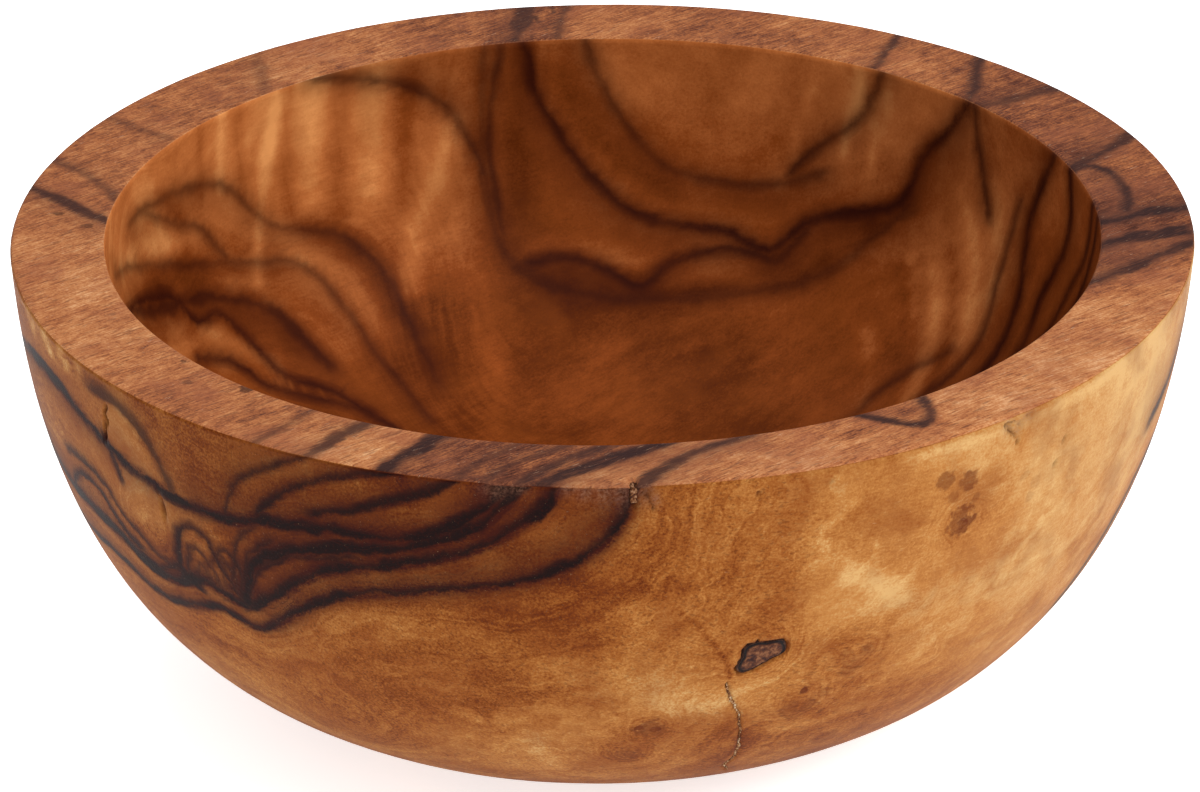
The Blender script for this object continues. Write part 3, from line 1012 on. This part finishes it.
class Nodes:
    """Adds nodes to a material.  Each method returns the new node's output socket."""

    def __init__(self, name):
        self.material = bpy.data.materials.new(name)
        self.material.use_nodes = True
        self.tree = self.material.node_tree
        self.shader = self.tree.nodes["Principled BSDF"]

    def put(self, socket, value):
        if isinstance(value, bpy.types.NodeSocket):
            self.tree.links.new(value, socket)
        elif value is not None:
            socket.default_value = value

    def field(self, name):
        node = self.tree.nodes.new("ShaderNodeAttribute")
        node.attribute_name = name
        return node.outputs["Fac"]

    def three_fields(self, name):
        node = self.tree.nodes.new("ShaderNodeAttribute")
        node.attribute_name = name
        parts = self.tree.nodes.new("ShaderNodeSeparateXYZ")
        self.put(parts.inputs[0], node.outputs["Vector"])
        return parts.outputs

    def place(self):
        """The object's own coordinates, in mm."""
        node = self.tree.nodes.new("ShaderNodeTexCoord")
        return self.scaled(node.outputs["Object"], (1 / MM,) * 3)

    def scaled(self, vector, scale, turn=0.0):
        node = self.tree.nodes.new("ShaderNodeMapping")
        self.put(node.inputs["Vector"], vector)
        node.inputs["Scale"].default_value = scale
        node.inputs["Rotation"].default_value = (0, 0, turn)
        return node.outputs[0]

    def math(self, operation, a, b=None, c=None, clamp=False):
        node = self.tree.nodes.new("ShaderNodeMath")
        node.operation = operation
        node.use_clamp = clamp
        for socket, value in zip(node.inputs, (a, b, c)):
            self.put(socket, value)
        return node.outputs[0]

    def total(self, *parts):
        """A weighted sum of (socket, weight) pairs and numbers."""
        result = 0.0
        for part in parts:
            if isinstance(part, tuple):
                result = self.math("MULTIPLY_ADD", part[0], part[1], result)
            else:
                result = self.math("ADD", result, part)
        return result

    def times(self, first, *others):
        for other in others:
            first = self.math("MULTIPLY", first, other)
        return first

    def swing(self, *parts):
        """A weighted sum of how far each socket is above or below a half."""
        return self.total(*[(self.math("SUBTRACT", part, 0.5), weight) for part, weight in parts])

    def noise(self, vector, size, detail=2.0, rough=0.5, twist=0.0):
        node = self.tree.nodes.new("ShaderNodeTexNoise")
        self.put(node.inputs["Vector"], vector)
        node.inputs["Scale"].default_value = 1 / size
        node.inputs["Detail"].default_value = detail
        node.inputs["Roughness"].default_value = rough
        node.inputs["Distortion"].default_value = twist
        return node.outputs["Fac"]

    def lines(self, level, place, size, reach, detail=2.0, rough=0.5):
        """Noise that draws lines of equal growth, each one fading in and out over reach mm."""
        across = self.tree.nodes.new("ShaderNodeCombineXYZ")
        self.put(across.inputs["X"], self.math("DIVIDE", level, size))
        moved = self.tree.nodes.new("ShaderNodeVectorMath")
        self.put(moved.inputs[0], self.scaled(place, (1 / reach,) * 3))
        self.put(moved.inputs[1], across.outputs[0])
        return self.noise(moved.outputs[0], 1.0, detail, rough)

    def span(self, value, low, high, to_low=0.0, to_high=1.0):
        """A smooth step from to_low at low to to_high at high."""
        node = self.tree.nodes.new("ShaderNodeMapRange")
        node.interpolation_type = "SMOOTHSTEP"
        for socket, number in zip(node.inputs, (value, low, high, to_low, to_high)):
            self.put(socket, number)
        return node.outputs[0]

    def ramp(self, value, stops):
        node = self.tree.nodes.new("ShaderNodeValToRGB")
        self.put(node.inputs["Fac"], value)
        ramp = node.color_ramp
        while len(ramp.elements) < len(stops):
            ramp.elements.new(0.5)
        for element, (place, colour) in zip(ramp.elements, stops):
            element.position = place
            element.color = (*colour, 1)
        return node.outputs["Color"]

    def mix(self, share, a, b):
        node = self.tree.nodes.new("ShaderNodeMix")
        node.data_type = "RGBA"
        self.put(node.inputs["Factor"], share)
        for socket, colour in (("A", a), ("B", b)):
            ready = isinstance(colour, bpy.types.NodeSocket)
            self.put(node.inputs[socket], colour if ready else (*colour, 1))
        return node.outputs["Result"]

    def near(self, vector, point):
        node = self.tree.nodes.new("ShaderNodeVectorMath")
        node.operation = "DISTANCE"
        self.put(node.inputs[0], vector)
        node.inputs[1].default_value = point
        return node.outputs["Value"]

    def finish(self, colour, rough, height, depth, gloss):
        """Feeds the shader.  height is 0 to 1 and depth is what 1 stands for, in mm."""
        self.shader.inputs["Specular IOR Level"].default_value = gloss
        self.put(self.shader.inputs["Base Color"], colour)
        self.put(self.shader.inputs["Roughness"], rough)
        bump = self.tree.nodes.new("ShaderNodeBump")
        bump.inputs["Strength"].default_value = 1.0
        bump.inputs["Distance"].default_value = depth * MM
        self.put(bump.inputs["Height"], height)
        self.put(self.shader.inputs["Normal"], bump.outputs[0])
        return self.material


def spots_mask(nodes, place, spots, warp):
    """The strongest of several round spots at each point, 0 to 1."""
    mask = 0.0
    for turn, run, radius, strength in spots:
        away = nodes.near(place, surface(turn, run).tolist())
        away = nodes.math("MULTIPLY_ADD", warp, radius * 1.8, away)
        mask = nodes.math("MAXIMUM", mask, nodes.span(away, radius * 1.2, radius * 0.7, 0.0, strength))
    return mask


def grain_of(nodes, look):
    """The noises that all of the wood's figure is made from."""
    place = nodes.place()
    along = nodes.scaled(place, (1, 1, 1), -FIBRE_WAY)
    grain = SimpleNamespace(place=place, along=along)
    grain.wide_warp = nodes.noise(place, 3.2, 2)
    grain.fine_warp = nodes.noise(nodes.scaled(place, (1.1, 1, 1)), 0.8, 2)
    grain.fibre = nodes.noise(nodes.scaled(along, (look.stretch, 1, 1)), look.fibre_size, 3, 0.66)
    grain.wide_fibre = nodes.noise(nodes.scaled(along, (0.2, 1, 1)), 1.3, 3)
    warps = (grain.wide_warp, look.waver), (grain.fine_warp, look.ripple)
    growth = nodes.total(nodes.field("growth"), *warps)
    grain.bands = nodes.lines(growth, place, look.band_size, 30.0)
    grain.lines = nodes.lines(growth, place, look.line_size, 7.0, 3, 0.62)
    grain.blotch = nodes.noise(place, 11.0, 2)
    grain.mottle = nodes.noise(place, 2.1, 3, 0.6)
    grain.grit = nodes.noise(place, 0.25, 2, 0.6)
    return grain


def sound_colour(nodes, look, grain, base_tone, stops, rust_colour):
    """The wood between the veins: its tone moved by the grain, and rust over it."""
    fine_grain = nodes.swing(
        (grain.lines, look.lines),
        (grain.fibre, look.fibre),
        (grain.mottle, look.mottle),
        (grain.grit, look.grit),
    )
    figure = nodes.swing(
        (grain.bands, look.bands),
        (grain.wide_fibre, look.wide_fibre),
        (grain.blotch, look.blotch),
    )
    # Pale sapwood is calmer: its fine grain hardly shows
    calm = nodes.span(base_tone, 0.66, 0.9, 1.0, 0.5)
    pale = nodes.field("pale")
    tone = nodes.total(base_tone, figure, (fine_grain, calm), (pale, look.pale))
    rust = nodes.span(nodes.noise(grain.place, 7.0, 3, 0.55, 0.4), 0.42, 0.72, 0.0, look.rust)
    rust = nodes.math("ADD", rust, nodes.field("rusty"), clamp=True)
    return nodes.mix(rust, nodes.ramp(tone, stops), rust_colour)


def vein_masks(nodes, look, grain, groups):
    """The veins' dark middles and the smoke at their sides, as two masks."""
    sway = nodes.swing(
        (grain.wide_warp, look.edge_warp),
        (grain.fibre, look.edge_fibre),
        (grain.fine_warp, look.edge_fine),
        (grain.lines, look.edge_lines),
    )
    swell = nodes.span(nodes.noise(grain.place, 4.6, 2), 0.32, 0.68, 0.3, 1.6)
    swell = nodes.times(swell, look.widen)
    core, near = 0.0, 0.0
    for number in range(groups):
        signed, plain, half = nodes.three_fields(f"vein_{number}")
        half = nodes.times(half, swell)
        across = nodes.math("ADD", signed, sway)
        beyond = nodes.math("SUBTRACT", across, half)
        sharp_side = nodes.span(nodes.math("ADD", across, half), -look.edge_sharp, look.edge_sharp)
        strength = nodes.field(f"strength_{number}")
        strength = nodes.times(strength, nodes.span(plain, FELT_TO, FELT_FROM), sharp_side)
        here = nodes.times(nodes.span(beyond, look.edge_soft, -0.35), strength)
        fading = nodes.times(nodes.span(beyond, look.fade, -0.1), strength)
        core = nodes.math("MAXIMUM", core, here)
        near = nodes.math("MAXIMUM", near, fading)
    return core, near


def faults(nodes, grain, colour, spots, smoke_colour, spot_colour):
    """Adds brown spots, the halo round the knot, the chips' fuzz and the open cracks."""
    if spots:
        warp = nodes.math("SUBTRACT", grain.fine_warp, 0.5)
        mask = spots_mask(nodes, grain.place, spots, warp)
        inner = nodes.span(grain.mottle, 0.36, 0.62, 0.7, 1.0)
        colour = nodes.mix(nodes.times(mask, inner), colour, spot_colour)
    knot_gap = nodes.total(nodes.field("knot_gap"), (grain.fine_warp, 0.8))
    colour = nodes.mix(nodes.span(knot_gap, 1.0, 0.2, 0.0, 0.75), colour, spot_colour)
    tufts = nodes.span(grain.grit, 0.3, 0.6, 0.3, 1.0)
    hairs = nodes.span(grain.fibre, 0.35, 0.6, 0.2, 0.75)
    worn = nodes.times(nodes.field("worn"), tufts, hairs)
    colour = nodes.mix(worn, colour, lit(WORN_COLOUR, OUTSIDE_LIGHT, SHEEN))
    return nodes.mix(nodes.field("open"), colour, smoke_colour)


def wood(name, colours, look, spots, groups):
    """Olive wood.  look holds the share that each kind of figure has in this part of the bowl."""
    stops, dark, smoke_colour, rust_colour, spot_colour, fuzz_colour = colours
    nodes = Nodes(name)
    grain = grain_of(nodes, look)
    fibre, lines, base_tone = grain.fibre, grain.lines, nodes.field("tone")
    colour = sound_colour(nodes, look, grain, base_tone, stops, rust_colour)
    core, near = vein_masks(nodes, look, grain, groups)
    break_up = 1.3 * look.broken
    broken = nodes.total(1 - break_up, (lines, break_up), (fibre, break_up))
    haze = nodes.math("MULTIPLY", nodes.math("MAXIMUM", near, nodes.field("smoke")), broken, clamp=True)
    colour = nodes.mix(nodes.times(haze, look.smoke), colour, smoke_colour)
    flecks = nodes.span(nodes.total((fibre, 0.5), (lines, 0.5)), 0.5, 0.68, 1.0, 1 - look.flecks)
    vein = nodes.times(core, look.vein, flecks)
    colour = nodes.mix(vein, colour, dark)
    colour = faults(nodes, grain, colour, spots, smoke_colour, spot_colour)
    pores = nodes.span(nodes.noise(nodes.scaled(grain.along, (0.16, 1, 1)), 0.27, 1), 0.44, 0.3)
    pores = nodes.times(pores, nodes.span(base_tone, 0.62, 0.8, look.pores, 0.04))
    colour = nodes.mix(pores, colour, smoke_colour)
    # Raised fibres catch the light as short pale hairs
    hair = nodes.noise(nodes.scaled(grain.along, (0.1, 1, 1)), 0.14, 1, 0.5, 1.2)
    hair = nodes.span(hair, look.hair_from, look.hair_from + 0.08, 0.0, look.hair)
    colour = nodes.mix(hair, colour, fuzz_colour)
    rough = nodes.total(look.rough, (fibre, 0.14), (vein, -0.05), (hair, 0.2))
    height = nodes.total((fibre, 0.6), (grain.grit, 0.25), (lines, 0.2), (hair, 0.6), (vein, -0.25))
    return nodes.finish(colour, rough, height, look.depth, look.gloss)


def srgb(red, green, blue):
    """A colour given as 0 to 255 display values, as the linear values that a shader takes."""

    def linear(value):
        share = value / 255
        return share / 12.92 if share <= 0.04045 else ((share + 0.055) / 1.055) ** 2.4

    return linear(red), linear(green), linear(blue)


# What each part's figure is like: (outside, rim, hollow)
LOOKS = dict(
    # How far wide and fine noise move the growth lines, in levels
    waver=(0.5, 0.25, 0.4),
    ripple=(0.12, 0.1, 0.1),
    # The growth bands' and fine lines' spacing, in levels
    band_size=(0.6, 0.8, 0.8),
    line_size=(0.08, 0.2, 0.22),
    # How strongly the bands and the fine lines show
    bands=(0.4, 0.2, 0.26),
    lines=(0.5, 0.2, 0.2),
    # The fibres' thickness as a share of their length, and their thickness in mm
    stretch=(0.14, 0.12, 0.12),
    fibre_size=(0.24, 0.2, 0.3),
    # How strongly the fibres show
    fibre=(0.34, 0.88, 0.14),
    wide_fibre=(0.16, 0.4, 0.12),
    # The same for wide, middling and fine mottling
    blotch=(0.24, 0.3, 0.24),
    mottle=(0.24, 0.4, 0.14),
    grit=(0.46, 0.5, 0.16),
    # Redder patches, smoke beside the veins, and pale and dark streaks
    rust=(0.5, 0.5, 0.35),
    smoke=(1.0, 0.9, 1.0),
    pale=(1.0, 1.0, 1.25),
    # How far each noise moves the veins' edges, in mm
    edge_warp=(1.4, 0.8, 1.0),
    edge_fibre=(0.5, 1.8, 0.2),
    edge_fine=(0.5, 0.5, 0.3),
    edge_lines=(0.5, 0.3, 0.2),
    # Over how many mm a vein's dark middle and its near smoke fade
    edge_soft=(0.85, 1.0, 0.95),
    fade=(1.8, 1.5, 3.2),
    # How dark the veins are, and the pores
    vein=(0.95, 0.88, 0.74),
    pores=(0.32, 0.45, 0.12),
    # How far the grain breaks up the smoke and the veins
    broken=(1.0, 1.0, 0.35),
    flecks=(0.5, 0.5, 0.1),
    # The veins' width beside its set one, and how sharp their clean side is
    widen=(0.85, 1.1, 0.6),
    edge_sharp=(0.3, 0.45, 0.45),
    # Where raised fibres start, and how pale they are
    hair_from=(0.72, 0.7, 0.8),
    hair=(0.3, 0.4, 0.1),
    # Roughness, depth of the bump in mm, and gloss
    rough=(0.5, 0.6, 0.46),
    depth=(0.05, 0.08, 0.02),
    gloss=(0.04, 0.04, 0.03),
)
# Colours are display values, 0 to 255.  This is the fuzzy wood's at the chips.
WORN_COLOUR = (158, 110, 88)
# How strongly the stage lights each part: the hollow's own walls make its light redder
OUTSIDE_LIGHT, RIM_LIGHT, HOLLOW_LIGHT = (1.9, 1.86, 1.8), (1.3, 1.28, 1.2), (1.08, 0.98, 0.73)
SHEEN, HOLLOW_SHEEN = (0.012, 0.012, 0.012), (0.011, 0.009, 0.006)
OUTSIDE_STOPS = [
    (0.0, (46, 24, 16)),
    (0.2, (88, 42, 20)),
    (0.4, (130, 65, 28)),
    (0.6, (173, 102, 49)),
    (0.8, (206, 138, 74)),
    (1.0, (236, 186, 120)),
]
RIM_STOPS = [
    (0.0, (52, 34, 32)),
    (0.25, (104, 62, 48)),
    (0.5, (162, 99, 63)),
    (0.7, (190, 127, 81)),
    (1.0, (224, 172, 124)),
]
HOLLOW_STOPS = [
    (0.0, (50, 24, 12)),
    (0.3, (96, 46, 20)),
    (0.5, (138, 68, 28)),
    (0.75, (186, 106, 50)),
    (1.0, (228, 150, 78)),
]


def lit(colour, light, sheen):
    """The base colour that shows as a display colour under that light, with that much pale sheen on it."""
    parts = zip(srgb(*colour), light, sheen)
    return tuple(max((part - pale) / strength, 0.0015) for part, strength, pale in parts)


def lit_stops(light, sheen, stops):
    return [(place, lit(colour, light, sheen)) for place, colour in stops]


def palette(light, sheen, stops, *colours):
    """The stops and single colours of one part of the bowl, as base colours."""
    return lit_stops(light, sheen, stops), *[lit(colour, light, sheen) for colour in colours]


# Stops, then veins, smoke, rust, spots and raised fibres
OUTSIDE_COLOURS = palette(
    OUTSIDE_LIGHT, SHEEN, OUTSIDE_STOPS,
    (40, 28, 26), (74, 37, 22), (154, 84, 42), (114, 54, 32), (226, 180, 136),
)
RIM_COLOURS = palette(
    RIM_LIGHT, SHEEN, RIM_STOPS,
    (52, 40, 40), (96, 62, 50), (150, 90, 64), (46, 34, 34), (226, 184, 150),
)
HOLLOW_COLOURS = palette(
    HOLLOW_LIGHT, HOLLOW_SHEEN, HOLLOW_STOPS,
    (44, 24, 12), (70, 34, 14), (132, 66, 26), (40, 22, 18), (200, 140, 90),
)


SEAM_COLUMNS = 9


def grid_piece(name, turn, run, lift, depth):
    """A closed piece let into the wall: a grid of places, lifted, with its underside depth below."""
    bare, normal = surface(turn, run), outward(turn, run)
    top = bare + normal * lift[..., None]
    under = bare - normal * depth
    high, wide = turn.shape
    points = np.concatenate([top.reshape(-1, 3), under.reshape(-1, 3)])
    count = high * wide
    faces = []
    for i in range(high - 1):
        for j in range(wide - 1):
            a, b = i * wide + j, (i + 1) * wide + j
            faces.append((a, b, b + 1, a + 1))
            faces.append((count + a, count + a + 1, count + b + 1, count + b))
    rim = list(range(wide)) + [i * wide + wide - 1 for i in range(1, high)]
    rim += [(high - 1) * wide + j for j in range(wide - 2, -1, -1)]
    rim += [i * wide for i in range(high - 2, 0, -1)]
    for a, b in zip(rim, rim[1:] + rim[:1]):
        faces.append((a, b, count + b, count + a))
    return make_object(name, points, faces)


def seam(name, middle, per_degree, half, sway, crumb, seed, low, depth):
    """A strip of filler along a route.

    middle holds the route's turns and runs.  half and sway are the strip's half width and how far it
    strays to one side.  Its top is low mm above the bowl's surface, with crumbs of the size crumb."""
    across = np.linspace(-1, 1, SEAM_COLUMNS)
    middle_turn, middle_run = middle[:, :1], middle[:, 1:]
    turn = middle_turn + (half[:, None] * across + sway[:, None]) / per_degree
    run = np.broadcast_to(middle_run, turn.shape)
    grain = noise_at(surface(turn, run).reshape(-1, 3), crumb, seed).reshape(turn.shape)
    return grid_piece(name, turn, run, low + 0.16 * grain - 0.1 * across**4, depth)


def make_check():
    """The filler in the open check: an uneven seam of packed dust."""
    steps = 150
    route = smooth_line(CHECK_ROUTE, 24)
    share = np.linspace(0, len(route) - 1, steps)
    middle_turn = np.interp(share, range(len(route)), route[:, 0])
    middle_run = -np.interp(share, range(len(route)), route[:, 1])
    centre = surface(middle_turn, middle_run)
    ends = np.clip(np.minimum(np.arange(steps), np.arange(steps)[::-1]) / 6, 0.15, 1)
    half = (0.13 + 0.14 * noise_at(centre, 1.2, 0.2)).clip(0.03) * ends
    sway = 0.16 * noise_at(centre, 1.1, 0.7)
    middle = np.stack([middle_turn, middle_run], axis=-1)
    per_degree = mm_per_degree(middle_run)[:, None]
    return seam("check_seam", middle, per_degree, half, sway, 0.3, 0.3, -0.06, 1.9)


def make_rim_filler():
    """Filler in the short check at the rim's edge, broken down along its top."""
    runs = np.linspace(-2.1, 1.5, 24)
    middle = np.stack([np.full(runs.shape, RIM_CHECK_TURN), runs], axis=-1)
    half = 0.36 * np.clip((runs - 2.2) / -3.2, 0.1, 1)
    sway = 0.14 * noise_at(surface(*middle.T), 0.8, 0.5)
    return seam("rim_check_seam", middle, mm_per_degree(0.0), half, sway, 0.4, 0.8, -0.3, 1.2)


KNOT_DEPTH, KNOT_DRAWN_IN = 5.0, 0.85
KNOT_STOPS = [(0.0, (56, 28, 18)), (0.5, (104, 60, 40)), (1.0, (150, 98, 66))]
BARK_COLOUR = (40, 24, 18)


def make_knot():
    """The dead branch: a plug with a sunken ring of bark around cracked, darker wood."""
    rings, around = 14, 72
    angles = np.arange(around) * math.tau / around
    reach = knot_reach(angles)
    shares = np.sin(np.linspace(0, 1, rings) * math.pi / 2)[1:]
    points, share_of = [surface(KNOT_TURN, -KNOT_DROP)], [0.0]
    normals = [outward(KNOT_TURN, -KNOT_DROP)]
    for share in shares:
        across, up = reach * share * np.cos(angles), reach * share * np.sin(angles)
        run = up - KNOT_DROP
        turn = KNOT_TURN + across / mm_per_degree(run)
        points += list(surface(turn, run))
        normals += list(outward(turn, run))
        share_of += [share] * around
    points, normals, share_of = np.array(points), np.array(normals), np.array(share_of)
    bark = np.exp(-(((share_of - 0.9) / 0.07) ** 2))
    crack = np.abs(noise_at(points, 0.9, 0.6))
    lift = -0.02 - 0.16 * bark - 0.1 * np.clip(0.2 - crack, 0, 1) - 0.25 * (share_of > 0.985)
    top = points + normals * lift[:, None]
    # The underside is the top moved inwards and drawn in towards the plug's middle
    under = points[0] - normals[0] * KNOT_DEPTH + (top - points[0]) * KNOT_DRAWN_IN
    count, pairs = len(top), [(j, (j + 1) % around) for j in range(around)]
    faces = [(0, 1 + j, 1 + k) for j, k in pairs]
    for i in range(len(shares) - 1):
        a, b = 1 + i * around, 1 + (i + 1) * around
        faces += [(a + j, b + j, b + k, a + k) for j, k in pairs]
    flipped = [tuple(count + v for v in face[::-1]) for face in faces]
    last = 1 + (len(shares) - 1) * around
    sides = [(last + j, count + last + j, count + last + k, last + k) for j, k in pairs]
    piece = make_object("knot_plug", np.concatenate([top, under]), faces + flipped + sides)
    add_field(piece, "share", np.concatenate([share_of, share_of]))
    return piece


def knot_material():
    """Cracked brown wood inside a dark ring of bark."""
    nodes = Nodes("dead_branch")
    place = nodes.place()
    mottle = nodes.noise(place, 0.55, 3, 0.6)
    fine = nodes.noise(place, 0.2, 2, 0.6)
    share = nodes.total(nodes.field("share"), nodes.swing((mottle, 0.16)))
    core = nodes.ramp(nodes.span(mottle, 0.3, 0.7), lit_stops(OUTSIDE_LIGHT, SHEEN, KNOT_STOPS))
    bark = nodes.span(share, 0.76, 0.86)
    outer = nodes.span(share, 0.98, 0.9)
    bark = nodes.times(bark, nodes.math("MAXIMUM", outer, 0.6))
    colour = nodes.mix(bark, core, lit(BARK_COLOUR, OUTSIDE_LIGHT, SHEEN))
    height = nodes.total((mottle, 0.7), (fine, 0.4))
    rough = nodes.total(0.5, (fine, 0.2))
    return nodes.finish(colour, rough, height, 0.08, DULL)


def filler_material(name, stops):
    """Crumbs of packed dust, from dark gaps to pale grains."""
    nodes = Nodes(name)
    place = nodes.place()
    crumbs = nodes.noise(place, 0.26, 3, 0.7)
    patches = nodes.noise(place, 1.4, 2)
    both = nodes.total((crumbs, 0.7), (patches, 0.3))
    colour = nodes.ramp(nodes.span(both, 0.36, 0.64), lit_stops(OUTSIDE_LIGHT, SHEEN, stops))
    rough = nodes.total(0.7, (crumbs, 0.2))
    return nodes.finish(colour, rough, crumbs, 0.12, DULL)


def dress(piece, slot, *materials, nodes=()):
    for material in materials:
        piece.data.materials.append(material)
    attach(piece, "root")
    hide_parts(*nodes)


CHECK_STOPS = [(0.0, (84, 50, 30)), (0.4, (150, 94, 56)), (0.7, (196, 146, 98)), (1.0, (240, 214, 176))]
RIM_FILL_STOPS = [(0.0, (60, 34, 20)), (0.5, (128, 78, 46)), (1.0, (184, 136, 102))]
OUTSIDE_SPOTS = [(turn, -drop, radius, strength) for turn, drop, radius, strength in SPOTS]
bowl, vein_groups = make_bowl()
outside_look, rim_look, hollow_look = [
    SimpleNamespace(**dict(zip(LOOKS, values))) for values in zip(*LOOKS.values())
]
dress(
    bowl,
    "olive_wood",
    wood("olive_outside", OUTSIDE_COLOURS, outside_look, OUTSIDE_SPOTS, vein_groups),
    wood("olive_rim", RIM_COLOURS, rim_look, RIM_SPOTS, vein_groups),
    wood("olive_hollow", HOLLOW_COLOURS, hollow_look, [], vein_groups),
    nodes=["bowl"],
)
dress(make_knot(), "knot_wood", knot_material(), nodes=["encased_knot"])
dress(make_check(), "filler", filler_material("packed_dust", CHECK_STOPS), nodes=["check_filler"])
dress(make_rim_filler(), "filler", filler_material("rim_dust", RIM_FILL_STOPS), nodes=["rim_check_filler"])


# ---------------------------------------------------------------- stage, light, camera


# In metres from here on
FLOOR_SIDE, FLOOR_LOW = 6.0, -0.0001
WORLD_STRENGTH = 0.74
LIGHT_TARGET = (0, 0, 0.03)
LIGHTS = [("key", (0.8, -0.5, 0.85), 0.8, 11.6), ("top", (-0.15, 0.2, 1.4), 1.0, 8.0)]
# The camera looks at the bowl from the front and above.  It stands CAMERA_RISE degrees above the
# rim's middle, and is tipped down by CAMERA_TILT and turned by CAMERA_YAW.
CAMERA_LENS, CAMERA_AWAY = 288.4, 0.97875
CAMERA_RISE, CAMERA_TILT, CAMERA_YAW = math.radians(24.28), math.radians(25.262), math.radians(0.0194)


def make_floor():
    mesh = bpy.data.meshes.new("floor")
    corners = [(x * FLOOR_SIDE, y * FLOOR_SIDE, FLOOR_LOW) for x, y in ((-1, -1), (1, -1), (1, 1), (-1, 1))]
    mesh.from_pydata(corners, [], [(0, 1, 2, 3)])
    floor = bpy.data.objects.new("floor", mesh)
    bpy.context.scene.collection.objects.link(floor)
    nodes = Nodes("pale_floor")
    for name, value in (
        ("Base Color", (0.93, 0.93, 0.93, 1)),
        ("Roughness", 0.9),
        ("Specular IOR Level", 0.1),
        ("Emission Color", (1, 1, 1, 1)),
        ("Emission Strength", 0.7),
    ):
        nodes.shader.inputs[name].default_value = value
    mesh.materials.append(nodes.material)


def add_softbox(name, place, size, watts):
    light = bpy.data.lights.new(name, "AREA")
    light.shape = "DISK"
    light.size = size
    light.energy = watts
    lamp = bpy.data.objects.new(name, light)
    lamp.location = place
    lamp.rotation_euler = (Vector(LIGHT_TARGET) - Vector(place)).to_track_quat("-Z", "Y").to_euler()
    bpy.context.scene.collection.objects.link(lamp)


def make_world(strength):
    world = bpy.data.worlds.new("studio")
    world.use_nodes = True
    background = world.node_tree.nodes["Background"]
    background.inputs["Color"].default_value = (1, 1, 1, 1)
    background.inputs["Strength"].default_value = strength
    bpy.context.scene.world = world


def make_camera():
    lens = bpy.data.cameras.new("camera")
    lens.lens = CAMERA_LENS
    lens.sensor_width = 36.0
    lens.clip_end = 20.0
    camera = bpy.data.objects.new("camera", lens)
    out, up = CAMERA_AWAY * math.cos(CAMERA_RISE), CAMERA_AWAY * math.sin(CAMERA_RISE)
    camera.location = (0, -out, HEIGHT * MM + up)
    camera.rotation_euler = (math.pi / 2 - CAMERA_TILT, 0, CAMERA_YAW)
    bpy.context.scene.collection.objects.link(camera)
    bpy.context.scene.camera = camera


make_floor()
make_world(WORLD_STRENGTH)
for light in LIGHTS:
    add_softbox(*light)
make_camera()
bpy.context.scene.view_settings.view_transform = "Standard"
